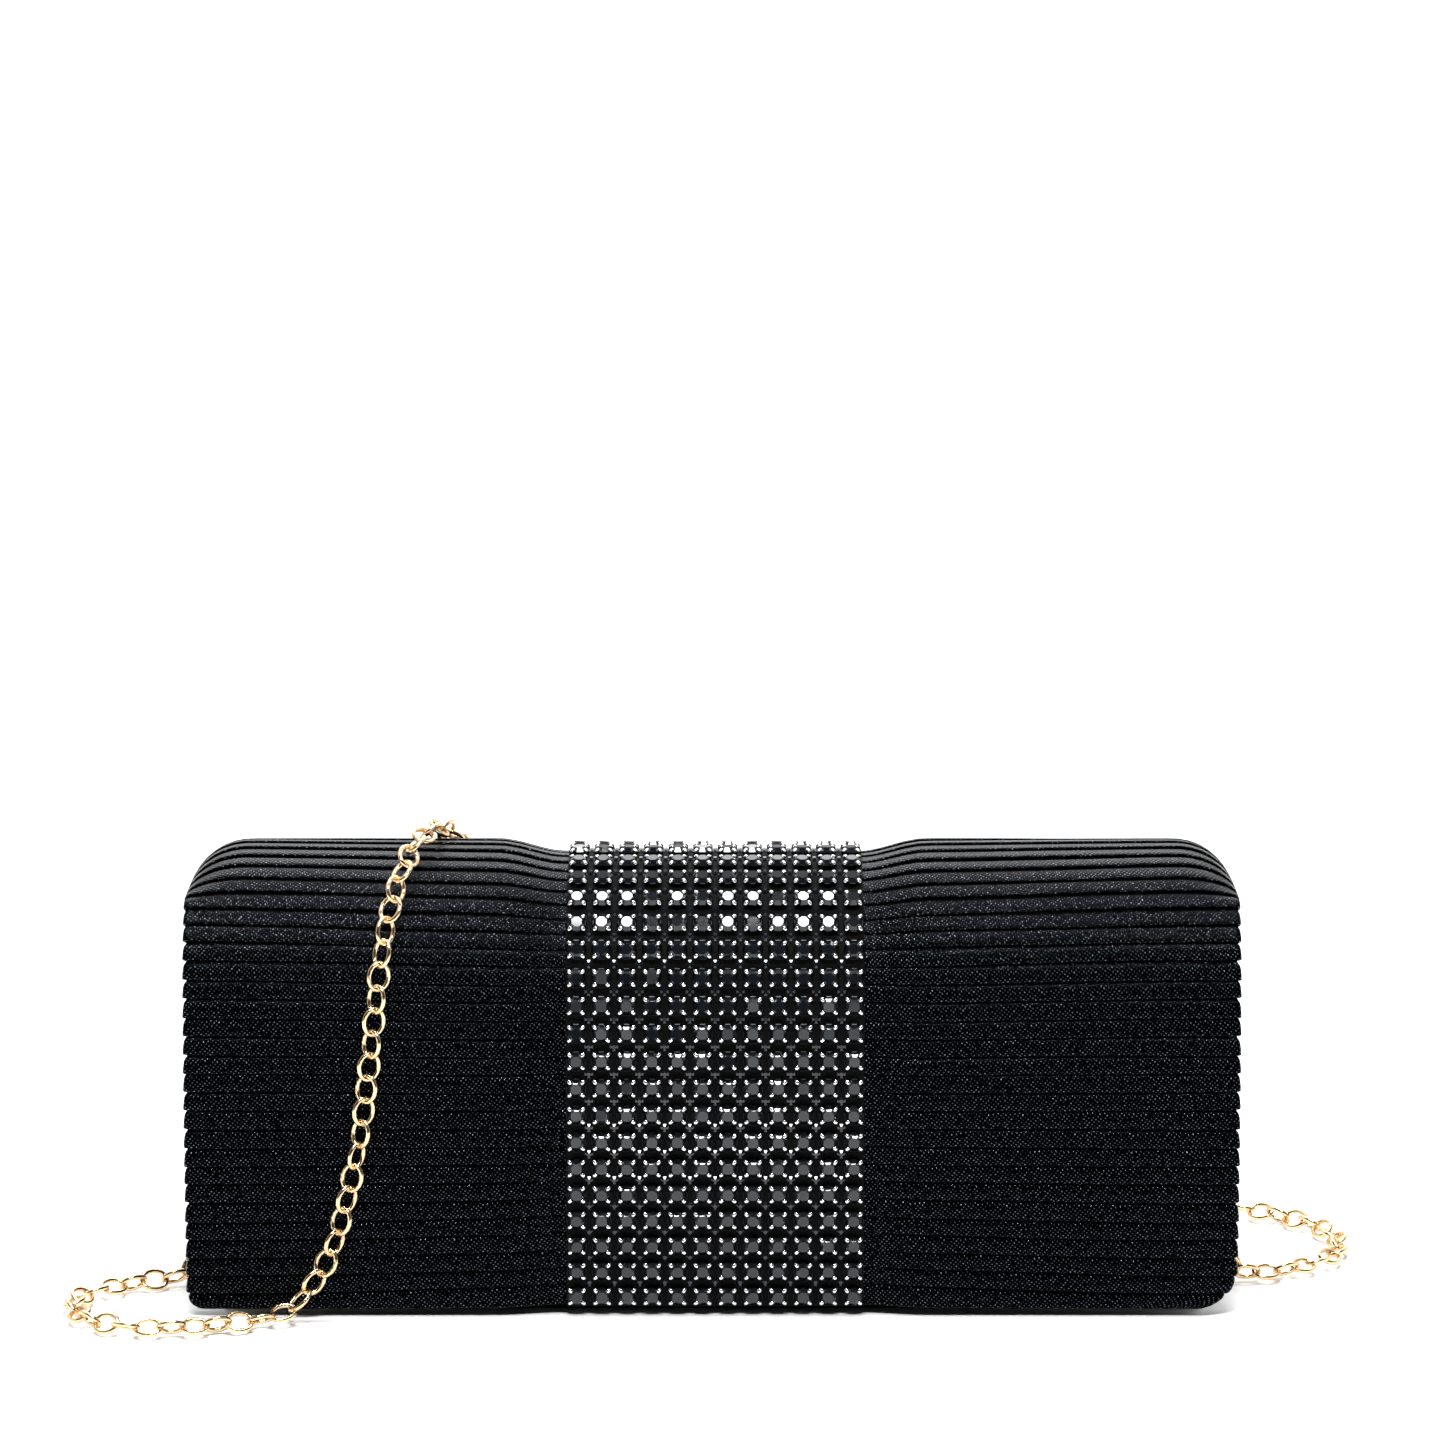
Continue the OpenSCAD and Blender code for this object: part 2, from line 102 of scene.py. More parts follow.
def add_node(material, kind, links=(), inputs=None, **settings):
    """Adds a node; links are (output socket, input name), inputs are values of its inputs."""
    tree = material.node_tree
    node = tree.nodes.new(kind)
    for name, value in settings.items():
        setattr(node, name, value)
    for name, value in (inputs or {}).items():
        node.inputs[name].default_value = value
    for source, name in links:
        tree.links.new(source, node.inputs[name])
    return node


def into_shader(material, source, socket):
    """Joins an output to a socket of the Principled shader."""
    shader = material.node_tree.nodes["Principled BSDF"]
    material.node_tree.links.new(source, shader.inputs[socket])


def mesh_object(name, points_mm, faces, material, smooth=True, uv=None):
    """A mesh from points in millimetres; uv, where given, is in millimetres of cloth."""
    mesh = bpy.data.meshes.new(name)
    mesh.from_pydata((np.asarray(points_mm) * mm).tolist(), [], [tuple(map(int, f)) for f in faces])
    if uv is not None:
        layer = mesh.uv_layers.new(name="cloth")
        corners = np.empty(len(mesh.loops), dtype=int)
        mesh.loops.foreach_get("vertex_index", corners)
        layer.data.foreach_set("uv", np.asarray(uv)[corners].astype(np.float32).ravel())
    mesh.polygons.foreach_set("use_smooth", [smooth] * len(mesh.polygons))
    mesh.materials.append(material)
    mesh.update()
    obj = bpy.data.objects.new(name, mesh)
    bpy.context.collection.objects.link(obj)
    return obj


# Gold plate: pale champagne gold over polished brass, mirror bright with a faint haze from wear.
gold_plate = new_material("gold_plate_polished", Metallic=1.0)
gold_where = add_node(gold_plate, "ShaderNodeTexCoord")
gold_haze = add_node(gold_plate, "ShaderNodeTexNoise", [(gold_where.outputs["Object"], "Vector")],
                     {"Scale": 900.0, "Detail": 3.0})
gold_tone = add_node(gold_plate, "ShaderNodeMix", [(gold_haze.outputs["Fac"], "Factor")],
                     data_type="RGBA")
gold_tone.inputs["A"].default_value = hex_color("#e2bd8a")
gold_tone.inputs["B"].default_value = hex_color("#f2d9b2")
into_shader(gold_plate, gold_tone.outputs["Result"], "Base Color")
gold_gloss = add_node(gold_plate, "ShaderNodeMapRange", [(gold_haze.outputs["Fac"], "Value")],
                      {"To Min": 0.12, "To Max": 0.24})
into_shader(gold_plate, gold_gloss.outputs["Result"], "Roughness")

link_length = 7.6
link_width = 6.1
link_wire = 1.2
link_pitch = 5.41
link_lean = 36
link_stray = 17
bpy.ops.object.select_all(action="DESELECT")
bpy.ops.mesh.primitive_torus_add(major_segments=16, minor_segments=6,
                                 major_radius=(link_width - link_wire) / 2,
                                 minor_radius=link_wire / 2)
link = bpy.context.object
link_points = np.array([v.co for v in link.data.vertices])
link_points[:, 0] += ((link_length - link_width) / 2
                      * np.cos(np.arctan2(link_points[:, 1], link_points[:, 0])))
link_faces = [tuple(p.vertices) for p in link.data.polygons]
bpy.data.objects.remove(link)

left_route = [
    (-120.4, 0, 55.6), (-120.4, 0, 40), (-120.4, 0, 27), (-120.6, -0.3, 16),
    (-122, -1, 8.5), (-125.8, -2.5, 4), (-131.5, -4.5, 2.8), (-138, -7.5, 2.8),
    (-144.5, -12, 2.8), (-150, -18.5, 2.8), (-152.3, -26, 2.8), (-150.5, -34, 2.8),
    (-146, -41, 2.8), (-139, -45.5, 2.8), (-131, -47, 2.8), (-121, -45.5, 2.8),
    (-112, -42.5, 2.8), (-104, -38.5, 2.8)]
drape_route = [
    (-103.5, -38.1, 2.8), (-99.5, -34.8, 4), (-95.5, -32.8, 8), (-92, -32.2, 13),
    (-89, -32.2, 20), (-86.8, -32.2, 28), (-84.8, -32.2, 36), (-83, -32.2, 45),
    (-81.5, -32.2, 56), (-80.2, -32.2, 67), (-78.8, -32.2, 79), (-77.7, -31.1, 88.3),
    (-76.3, -27.9, 96.1), (-74.5, -22.8, 102.8), (-72.4, -16.1, 107.9), (-70, -8.3, 111.1),
    (-67.4, 0, 112.2), (-64.8, 8.3, 111.1), (-62.4, 16.1, 107.9), (-60.5, 22.8, 102.8),
    (-59, 27.9, 96.1), (-57.8, 31.1, 88.3), (-56.8, 32.6, 78), (-55.8, 32.8, 64),
    (-54.8, 33, 50), (-53.9, 33.2, 36), (-52.8, 33.6, 22), (-51.2, 34.6, 12),
    (-47, 36, 5.5), (-39.5, 37.2, 3), (-30, 37.8, 2.8)]
back_route = [
    (-29.6, 37.8, 2.8), (0, 38, 2.8), (30, 38, 2.8), (52, 38, 2.8), (60, 36.6, 2.8),
    (68, 35.6, 2.8), (75.5, 38.5, 2.8), (78.6, 46, 2.8), (75.5, 53.5, 2.8),
    (68, 56.6, 2.8), (60, 55.4, 2.8), (52, 54, 2.8), (26, 54, 2.8), (0, 54, 2.8),
    (-26, 54, 2.8), (-42, 54, 2.8), (-50, 52.6, 2.8), (-58, 51.4, 2.8),
    (-65.5, 54.5, 2.8), (-68.6, 62, 2.8), (-65.5, 69.5, 2.8), (-58, 72.6, 2.8),
    (-50, 71.4, 2.8), (-42, 70, 2.8), (-10, 70, 2.8), (25, 70, 2.8), (60, 69.8, 2.8),
    (95, 68.6, 2.8), (112, 67.2, 2.8), (122, 65.5, 2.8), (129, 62.5, 2.8),
    (137, 57.5, 2.8), (143.5, 51.5, 2.8), (149.5, 44.5, 2.8), (153, 35.5, 2.8),
    (154, 26, 2.8), (151.5, 16.5, 2.8), (145, 8.5, 2.8), (137.5, 3, 2.8),
    (130, 0.6, 2.9), (125.2, 0, 4.4), (121.8, 0, 9), (120.6, 0, 17),
    (120.4, 0, 28), (120.4, 0, 40), (120.4, 0, 55.6)]


def smooth_line(route, steps=12):
    """A smooth curve through a route's points."""
    p = np.array(route, float)
    p = np.vstack([2 * p[0] - p[1], p, 2 * p[-1] - p[-2]])
    line = []
    for i in range(1, len(p) - 2):
        a, b, c, d = p[i - 1:i + 3]
        for t in np.linspace(0, 1, steps, endpoint=False):
            line.append(0.5 * (2 * b + (c - a) * t + (2 * a - 5 * b + 4 * c - d) * t ** 2
                               + (3 * b - a - 3 * c + d) * t ** 3))
    return np.array(line + [p[-2]])


def along_line(line):
    """The distance of each point of a line from its start."""
    return np.concatenate([[0], np.cumsum(np.linalg.norm(np.diff(line, axis=0), axis=1))])


def rests_on(place):
    """The direction away from what the chain lies on at a place: the ground, the bag or nothing."""
    x, y, z = place
    on_bag = np.array([0, y, max(z - 80, 0)]) if abs(x) < 110 else np.array([0, -1.0, 0])
    on_bag = on_bag / np.linalg.norm(on_bag)
    share = min(max((z - 3.5) / 5, 0), 1)
    return (1 - share) * np.array([0, 0, 1.0]) + share * on_bag


def string_links(name, route, first_turn):
    """Strings links along a route: the piece, its centreline and the next link's turn."""
    line = smooth_line(route)
    along = along_line(line)
    count = round(along[-1] / link_pitch)
    pitch = along[-1] / count
    points, faces = [], []
    for i in range(count):
        at = (i + 0.5) * pitch
        ends = [np.array([np.interp(s, along, line[:, k]) for k in range(3)])
                for s in (at - pitch / 2, at + pitch / 2)]
        centre = (ends[0] + ends[1]) / 2
        run = (ends[1] - ends[0]) / np.linalg.norm(ends[1] - ends[0])
        side = np.cross(run, rests_on(centre))
        side /= np.linalg.norm(side)
        turn = math.radians(link_lean * (-1) ** (i + first_turn)
                            + rng.uniform(-link_stray, link_stray))
        across = math.cos(turn) * side + math.sin(turn) * np.cross(run, side)
        face = np.cross(run, across)
        start = len(points) * len(link_points)
        points.append(centre + link_points @ np.array([run, across, face]))
        faces += [tuple(start + v for v in f) for f in link_faces]
    piece = mesh_object(name, np.concatenate(points), faces, gold_plate)
    return piece, line, (first_turn + count) % 2


chain_left_links, left_line, turned = string_links("chain_left_links", left_route, 0)
chain_drape_links, drape_line, turned = string_links("chain_drape_links", drape_route, turned)
chain_back_links, back_line, turned = string_links("chain_back_links", back_route, turned)
for piece in (chain_left_links, chain_drape_links, chain_back_links):
    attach(piece, "pouch")
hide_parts("chain_left")
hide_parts("chain_drape")
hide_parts("chain_back")
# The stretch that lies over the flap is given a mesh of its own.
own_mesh(chain_drape_links)
back_line = back_line[::-1]


# ---- The shape of the flap: a front that swells a little, and a round top down to the hinge ----
# Everything on the flap is laid out on this section: s runs along the cloth from the lower edge
# to the hinge, x across it, and height is measured out from the tips of the pleats. The front
# bows out a little, the two top corners droop, and the cloth is pressed in beside the band.
flap_low = 1.8
flap_front = -28.0
front_length = 78.6
front_lean = (math.radians(-5.4), math.radians(7.5))
dome_front_r = 30.9
dome_back_r = 25.0
dome_top = 109.0
flap_end = 81.6
section_step = 0.1
section_s = np.arange(0, 168, section_step)
dome_front_length = dome_front_r * (math.pi / 2 - front_lean[1])
section_n = np.where(
    section_s < front_length,
    front_lean[0] + (front_lean[1] - front_lean[0]) * section_s / front_length,
    np.where(section_s < front_length + dome_front_length,
             front_lean[1] + (section_s - front_length) / dome_front_r,
             math.pi / 2 + (section_s - front_length - dome_front_length) / dome_back_r))
section_n = np.minimum(section_n, math.radians(178))
section_y = flap_front + np.concatenate([[0], np.cumsum(np.sin(section_n[:-1]))]) * section_step
section_z = flap_low + np.concatenate([[0], np.cumsum(np.cos(section_n[:-1]))]) * section_step
section_z *= dome_top / section_z.max()
hinge_s = section_s[section_z > flap_end][-1]
half_width = 125.0
corner_drop = 14.5
band_half = 35.3
groove = 1.7
top_sag = 0.9
pinch_angle = math.radians(14)
press_width = 16
press_width_at_hinge = 2.5


def ease(t):
    """0 below 0, 1 above 1, smooth between."""
    t = np.clip(t, 0, 1)
    return t * t * (3 - 2 * t)


def droop(x, n):
    """How far the top of the flap comes down at its two ends, where the cloth faces up by n."""
    past = np.clip(np.abs(x) - (half_width - corner_drop), 0, 0.985 * corner_drop)
    front_share = np.clip((np.sin(n - pinch_angle) - 0.5) / 0.5, 0, 1)
    back_share = ease((math.pi - n) / math.radians(60))
    share = np.where(n < math.radians(104), front_share, back_share)
    return (corner_drop - np.sqrt(corner_drop ** 2 - past ** 2)) * share


def near_band(x, s=0.0):
    """1 under the band, fading to 0 beside it, where the padded cloth is pressed in."""
    near_hinge = ease((s - hinge_s + 24) / 18)
    width = press_width - (press_width - press_width_at_hinge) * near_hinge
    return 1 - ease((np.abs(x) - band_half) / width)


def corner_width(x, s):
    """Draws the two bottom corners in: a small round on the left, a larger one on the right."""
    radius = np.where(x < 0, 4.0, 10.0)
    near = np.clip(radius - s, 0, radius)
    cut = radius - np.sqrt(radius ** 2 - near ** 2)
    share = np.clip((np.abs(x) - 100) / 25, 0, 1)
    return x - np.sign(x) * cut * share


def on_flap(x, s, height, sunk=True):
    """Points of the flap at x, s and height out from the pleats' tips."""
    x, s, height = np.broadcast_arrays(np.asarray(x, float), np.asarray(s, float), height)
    n = np.interp(s, section_s, section_n)
    out = height - near_band(x, s) * (groove * sunk + top_sag * ease((s - 70) / 25))
    y = np.interp(s, section_s, section_y) - out * np.cos(n)
    z = np.interp(s, section_s, section_z) + out * np.sin(n)
    z = z - droop(x, n)
    lift = 0.4 * (1 - ease((np.abs(x) - band_half) / 60)) * (1 - ease(s / 60))
    return np.stack([corner_width(x, s), y, z + lift], axis=-1)


def closed_grid(rows):
    """Faces of a grid whose rows are closed loops, with both ends capped."""
    n_rows, n_cols = rows
    faces = []
    for r in range(n_rows - 1):
        for c in range(n_cols):
            a, b = r * n_cols + c, r * n_cols + (c + 1) % n_cols
            faces.append((a, b, b + n_cols, a + n_cols))
    faces.append(tuple(range(n_cols - 1, -1, -1)))
    faces.append(tuple((n_rows - 1) * n_cols + c for c in range(n_cols)))
    return faces


# ---- Flap board and lining: bent greyboard, with smooth satin glued inside it ----
# The board is 1.45 mm thick, dyed black, and bent to the round of the top while damp. The lining
# is cut a little smaller than the board, so that it stays out of sight from the front.

# Greyboard: pulp board dyed through, matt, with fibre flecks a little over a millimetre long.
greyboard = new_material("greyboard_dyed_black", Roughness=0.85)
board_where = add_node(greyboard, "ShaderNodeTexCoord")
board_fleck = add_node(greyboard, "ShaderNodeTexNoise", [(board_where.outputs["Object"], "Vector")],
                       {"Scale": 700.0, "Detail": 5.0})
board_tone = add_node(greyboard, "ShaderNodeMix", [(board_fleck.outputs["Fac"], "Factor")],
                      data_type="RGBA")
board_tone.inputs["A"].default_value = hex_color("#0b0b0c")
board_tone.inputs["B"].default_value = hex_color("#1b1a1a")
into_shader(greyboard, board_tone.outputs["Result"], "Base Color")


def satin(name, dark, light, thread, roughness, bump, metallic, shiny=(0.2, 0.58)):
    """Woven satin: threads cross at a slant, and the float of each thread catches the light."""
    cloth = new_material(name, Roughness=roughness, Metallic=metallic)
    shader = cloth.node_tree.nodes["Principled BSDF"]
    shader.inputs["Specular IOR Level"].default_value = 0.06
    where = add_node(cloth, "ShaderNodeUVMap", uv_map="cloth")
    waves = []
    for slant in (35, -52):
        turned_to = add_node(cloth, "ShaderNodeMapping", [(where.outputs["UV"], "Vector")],
                             {"Rotation": (0, 0, math.radians(slant))})
        waves.append(add_node(cloth, "ShaderNodeTexWave", [(turned_to.outputs["Vector"], "Vector")],
                              {"Scale": 0.314 / thread, "Distortion": 0.6, "Detail": 1.0,
                               "Detail Scale": 1.5}))
    weave = add_node(cloth, "ShaderNodeMath", [(waves[0].outputs["Fac"], 0),
                                               (waves[1].outputs["Fac"], 1)], operation="MULTIPLY")
    uneven = add_node(cloth, "ShaderNodeTexNoise", [(where.outputs["UV"], "Vector")],
                      {"Scale": 0.9, "Detail": 3.0})
    floats = add_node(cloth, "ShaderNodeMath", [(weave.outputs[0], 0), (uneven.outputs["Fac"], 1)],
                      operation="MULTIPLY")
    tone = add_node(cloth, "ShaderNodeMapRange", [(floats.outputs[0], "Value")],
                    {"From Min": shiny[0], "From Max": shiny[1]})
    color = add_node(cloth, "ShaderNodeMix", [(tone.outputs["Result"], "Factor")], data_type="RGBA")
    color.inputs["A"].default_value = hex_color(dark)
    color.inputs["B"].default_value = hex_color(light)
    into_shader(cloth, color.outputs["Result"], "Base Color")
    raised = add_node(cloth, "ShaderNodeBump", [(weave.outputs[0], "Height")],
                      {"Strength": bump, "Distance": 0.0002})
    into_shader(cloth, raised.outputs["Normal"], "Normal")
    return cloth


# Lining satin: plain black acetate satin, smoother and duller than the outside.
lining_satin = satin("lining_satin_black", "#08090b", "#24262b", 0.5, 0.42, 0.12, 0.0)


def flap_layer(name, outer, inner, margin, material):
    """A smooth layer of the flap between two heights, set in from the edge by a margin."""
    across = np.concatenate([np.linspace(-half_width, -112, 9), np.linspace(-104, 104, 27),
                             np.linspace(112, half_width, 9)])
    across = across * (half_width - margin) / half_width
    s_rows = np.concatenate([[margin], np.arange(margin + 1, hinge_s, 2.5), [hinge_s]])
    x = np.concatenate([across, across[::-1]])
    height = np.concatenate([np.full(len(across), outer), np.full(len(across), inner)])
    points = [on_flap(x, s, height, sunk=False) for s in s_rows]
    uv = [np.stack([x, np.full(len(x), s)], axis=-1) for s in s_rows]
    faces = closed_grid((len(s_rows), len(x)))
    return mesh_object(name, np.concatenate(points), faces, material, uv=np.concatenate(uv))


flap_board_piece = flap_layer("flap_board_bent", -2.85, -4.3, 1.6, greyboard)
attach(flap_board_piece, "flap")
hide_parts("flap_board")
flap_lining_piece = flap_layer("flap_lining_satin", -4.3, -4.7, 2.2, lining_satin)
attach(flap_lining_piece, "flap")
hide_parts("flap_lining")


# ---- Flap cover: one piece of satin in horizontal knife pleats over thin padding ----
# Each pleat overlaps the one below it. Its folded edge stands 0.95 mm proud, and the cloth wraps
# round the ends of the flap. The band is glued over its middle, where the folds lie flatter.
pleat_pitch = 4.41
pleat_rise = 0.95
pleat_steps = [
    (1.1, -0.08), (0.55, 0.1), (0.14, 0.34), (-0.05, 0.6), (0.02, 0.82), (0.22, 0.94),
    (0.9, 0.93), (1.7, 0.87), (2.45, 0.79), (3.0, 0.7), (3.4, 0.58), (3.75, 0.41),
    (4.1, 0.14), (4.6, -0.04), (5.2, -0.12)]

# Pleated satin: blue-black twill with metallised threads, so it is dark and shines only where it
# mirrors a light. The threads are drawn 0.8 mm apart, coarser than real ones, so that they show.
pleated_satin = satin("pleated_satin_twill", "#010102", "#737e89", 0.82, 0.22, 0.5, 0.85,
                      shiny=(0.34, 0.6))


def pleat_rows(first, count, top):
    """s and height of the rows of a run of pleats, from the lowest fold up."""
    rows = []
    for k in range(count):
        fold = first[k]
        size = (first[k + 1] - fold) / pleat_pitch
        for step, height in pleat_steps:
            rows.append((k, fold + step * (size if step > 0.6 else 1), height))
    return [(k, s, h) for k, s, h in rows if s < top]


fold_s = np.concatenate([[0.0], 3.9 + pleat_pitch * np.arange(0, 38)])
fold_shift = rng.uniform(-0.16, 0.16, len(fold_s))
fold_shift[0] = 0
fold_wave = rng.uniform(0, 2 * math.pi, (len(fold_s) + 1, 3))
columns = np.array([0, 12, 24, 33, 35.5, 37, 38.5, 40.5, 43, 46, 49.5, 53, 57, 61, 65, 69, 73, 77,
                    81, 85, 89, 93, 97, 100, 103, 106, 109, 112, 114.5, 117, 119, 121, 122.5,
                    123.6, 124.3])
columns = np.concatenate([-columns[:0:-1], columns])
wrap = [(0.35, -0.22), (0.05, -0.62), (0.0, -1.2), (0.15, -2.0), (0.7, -2.75)]
flap_rows = pleat_rows(fold_s + fold_shift, len(fold_s) - 1, hinge_s - 0.4)


def pleat_wave(k, x):
    """How a fold wanders along its length."""
    p = fold_wave[k]
    return (0.13 * np.sin(x / 31 + p[0]) + 0.08 * np.sin(x / 13 + p[1])
            + 0.03 * np.sin(x / 5 + p[2]))


def gather(x, s):
    """Draws the folds together towards the band, about the middle of the front."""
    near = 1 - ease((np.abs(x) - band_half) / 85)
    return (s - 45) * (1 - 0.035 * near) + 45


points, cloth_uv = [], []
for k, s, height in flap_rows:
    edge = half_width - (pleat_rise - height) * 1.1
    stretch = edge / half_width
    ends_x = np.array([edge - a for a, _ in wrap])
    ends_h = np.array([h for _, h in wrap])
    x = np.concatenate([columns * stretch, ends_x, [100, 35, -35, -100], -ends_x[::-1]])
    rise = height * (0.55 + 0.45 * ease((np.abs(columns) - band_half) / 14))
    wander = 0.05 * np.sin(columns / 17 + fold_wave[k][2]) * (height > 0.4)
    h = np.concatenate([rise + wander - pleat_rise, ends_h + (height - pleat_rise) * 0.6,
                        np.full(4, -2.8), ends_h[::-1] + (height - pleat_rise) * 0.6])
    free = ease(s / 6)
    s_here = gather(x, s) + pleat_wave(k, x) * free if s > 1 else np.full(len(x), s)
    s_here = np.minimum(s_here, hinge_s)
    points.append(on_flap(x, s_here, h))
    cloth_uv.append(np.stack([x + 3 * k, s_here * 1.15], axis=-1))
faces = closed_grid((len(flap_rows), len(points[0])))
flap_pleats = mesh_object("flap_pleats", np.concatenate(points), faces, pleated_satin,
                          uv=np.concatenate(cloth_uv))
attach(flap_pleats, "flap")
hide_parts("flap_cover")


# ---- Net of the rhinestone band: black polyester net, glued into the groove of the cover ----
# The net goes from under the flap's lower edge to its hinge. Its two sides are bound. It carries
# twelve columns and 24 rows of stones in riveted cups.
net_height = -2.0
net_thickness = 0.45


def band_x(x, s):
    """The band sits a little to the right, and is drawn in a little where it goes over the top."""
    return x * (1 - 0.012 * ease((s - 78) / 50)) + 0.75


# Black net: matt polyester mesh, seen as a dark ground with a bound edge.
net_black = new_material("net_polyester_black", Base_Color=hex_color("#030303"), Roughness=0.75)
net_black.node_tree.nodes["Principled BSDF"].inputs["Specular IOR Level"].default_value = 0.1
net_where = add_node(net_black, "ShaderNodeTexCoord")
net_holes = add_node(net_black, "ShaderNodeTexVoronoi", [(net_where.outputs["Object"], "Vector")],
                     {"Scale": 900.0})
net_raised = add_node(net_black, "ShaderNodeBump", [(net_holes.outputs["Distance"], "Height")],
                      {"Strength": 0.6, "Distance": 0.0003})
into_shader(net_black, net_raised.outputs["Normal"], "Normal")
net_x = np.linspace(-band_half, band_half, 25)
net_loop_x = np.concatenate([net_x, net_x[::-1]])
net_bound = np.where(np.abs(net_x) > band_half - 0.5, 0.35, 0.0)
net_loop_h = np.concatenate([net_height + net_bound, np.full(25, net_height - net_thickness)])
net_rows = np.concatenate([np.arange(-0.4, hinge_s - 1, 2.0), [hinge_s]])
net_points = [on_flap(band_x(net_loop_x, s), max(s, 0), net_loop_h, sunk=False)
              - np.array([0, 0, max(-s, 0)]) for s in net_rows]
band_net_piece = mesh_object("band_net_mesh", np.concatenate(net_points),
                             closed_grid((len(net_rows), len(net_loop_x))), net_black)
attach(band_net_piece, "flap")
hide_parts("band_net")


# ---- Rhinestones: jet glass, a 4.4 mm stone in each cup and a small one between four cups ----
# Each large stone has a flat table and eight crown faces, and sits a few degrees off straight, as
# it came out of the setting machine. The small stones are glued to the net.
column_pitch = 5.97
row_pitch = 6.2
row_growth = 0.0125
first_row = 2.5
girdle_height = -0.8
tilt = 4
twist = 8
net_arc = np.concatenate([[0], np.cumsum((1 + net_height * np.diff(section_n) / section_step)
                                         * section_step)])


def band_place(x, arc, height):
    """The matrix, in millimetres, of a piece that sits on the band at x and arc."""
    s = np.interp(arc, net_arc, section_s)
    n = np.interp(s, section_s, section_n)
    at = on_flap(band_x(x, s), s, height, sunk=False)
    out = Vector((0, -math.cos(n), math.sin(n)))
    along = Vector((0, math.sin(n), math.cos(n)))
    turn = Matrix(((1, 0, 0), along, out)).transposed().to_4x4()
    return Matrix.Translation(Vector(at.tolist())) @ turn


def repeat_mesh(name, shape, places, material, smooth):
    """One mesh of many copies of a shape (points, faces), one for each place."""
    base = np.array(shape[0])
    all_points, all_faces = [], []
    for place in places:
        m = np.array(place)
        start = len(all_points) * len(base)
        all_points.append(base @ m[:3, :3].T + m[:3, 3])
        all_faces += [tuple(start + v for v in f) for f in shape[1]]
    return mesh_object(name, np.concatenate(all_points), all_faces, material, smooth=smooth)


def turned_shape(sides, profile):
    """Points and faces of a closed shape with flat sides, from (radius, height) up its axis."""
    points = [(r * math.cos(2 * math.pi * (i + 0.5) / sides),
               r * math.sin(2 * math.pi * (i + 0.5) / sides), z)
              for r, z in profile for i in range(sides)]
    faces = [tuple(range(sides - 1, -1, -1))]
    for level in range(len(profile) - 1):
        for i in range(sides):
            a, b = level * sides + i, level * sides + (i + 1) % sides
            faces.append((a, b, b + sides, a + sides))
    faces.append(tuple((len(profile) - 1) * sides + i for i in range(sides)))
    return points, faces


# Jet glass: near-black cut glass with a foiled back; its table shows grey and its crown flashes.
jet_glass = new_material("jet_glass_cut", Base_Color=hex_color("#0a0b0e"), Roughness=0.05, IOR=1.52)
jet_where = add_node(jet_glass, "ShaderNodeTexCoord")
jet_tone = add_node(jet_glass, "ShaderNodeTexNoise", [(jet_where.outputs["Object"], "Vector")],
                    {"Scale": 210.0, "Detail": 1.0})
jet_mix = add_node(jet_glass, "ShaderNodeMix", [(jet_tone.outputs["Fac"], "Factor")],
                   data_type="RGBA")
jet_mix.inputs["A"].default_value = hex_color("#050609")
jet_mix.inputs["B"].default_value = hex_color("#14181d")
into_shader(jet_glass, jet_mix.outputs["Result"], "Base Color")
stone_shape = turned_shape(8, [(1.5, -0.7), (2.2, -0.12), (2.2, 0.0), (1.32, 0.95)])
columns_x = [(i - 5.5) * column_pitch for i in range(12)]
row_arcs = [first_row + j * row_pitch + row_growth * min(j, 10) * (2 * j - min(j, 10))
            for j in range(24)]
stone_places = []
for x in columns_x:
    for arc in row_arcs:
        place = band_place(x, arc, girdle_height)
        for axis, most in (("X", tilt), ("Y", tilt), ("Z", twist)):
            place = place @ Matrix.Rotation(math.radians(rng.uniform(-most, most)), 4, axis)
        stone_places.append(place)
stones = repeat_mesh("rhinestones", stone_shape, stone_places, jet_glass, smooth=False)
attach(stones, "flap")
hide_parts("band_stones")

small_shape = turned_shape(8, [(1.05, 0.0), (1.05, 0.15), (0.45, 0.55)])
small_places = [band_place((columns_x[i] + columns_x[i + 1]) / 2,
                           (row_arcs[j] + row_arcs[j + 1]) / 2, net_height)
                for i in range(11) for j in range(23)]
small_stones = repeat_mesh("rhinestones_small", small_shape, small_places, jet_glass, smooth=False)
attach(small_stones, "flap")
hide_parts("band_small_stones")


# ---- Cups and claws: stamped cups riveted to the net, each with four claws folded over ----
# A cup is a shallow dish just wider than its stone. Its claws stand at the corners and are pressed
# down on the stone's crown.

# Cup and claw plate: dark gunmetal on stamped brass, one plate drawn in two tones. The cups are
# near-black, deepened as painted shade under the stones; the claws are pale silver, painted light
# where they catch the lamps.
cup_metal_painted_shade = new_material("cup_plate_painted_shade", Metallic=1.0, Base_Color=hex_color("#17181a"))
claw_metal_painted_light = new_material("claw_plate_painted_light", Metallic=1.0, Base_Color=hex_color("#e3e5e8"))
for plate in (cup_metal_painted_shade, claw_metal_painted_light):
    plate_where = add_node(plate, "ShaderNodeTexCoord")
    plate_wear = add_node(plate, "ShaderNodeTexNoise", [(plate_where.outputs["Object"], "Vector")],
                          {"Scale": 1500.0, "Detail": 2.0})
    plate_gloss = add_node(plate, "ShaderNodeMapRange", [(plate_wear.outputs["Fac"], "Value")],
                           {"To Min": 0.08, "To Max": 0.3})
    into_shader(plate, plate_gloss.outputs["Result"], "Roughness")
cup_shape = turned_shape(12, [(2.0, -1.2), (2.42, -0.9), (2.45, 0.0), (2.26, 0.1), (2.15, -0.1)])
cup_places = [band_place(x, arc, girdle_height) for x in columns_x for arc in row_arcs]
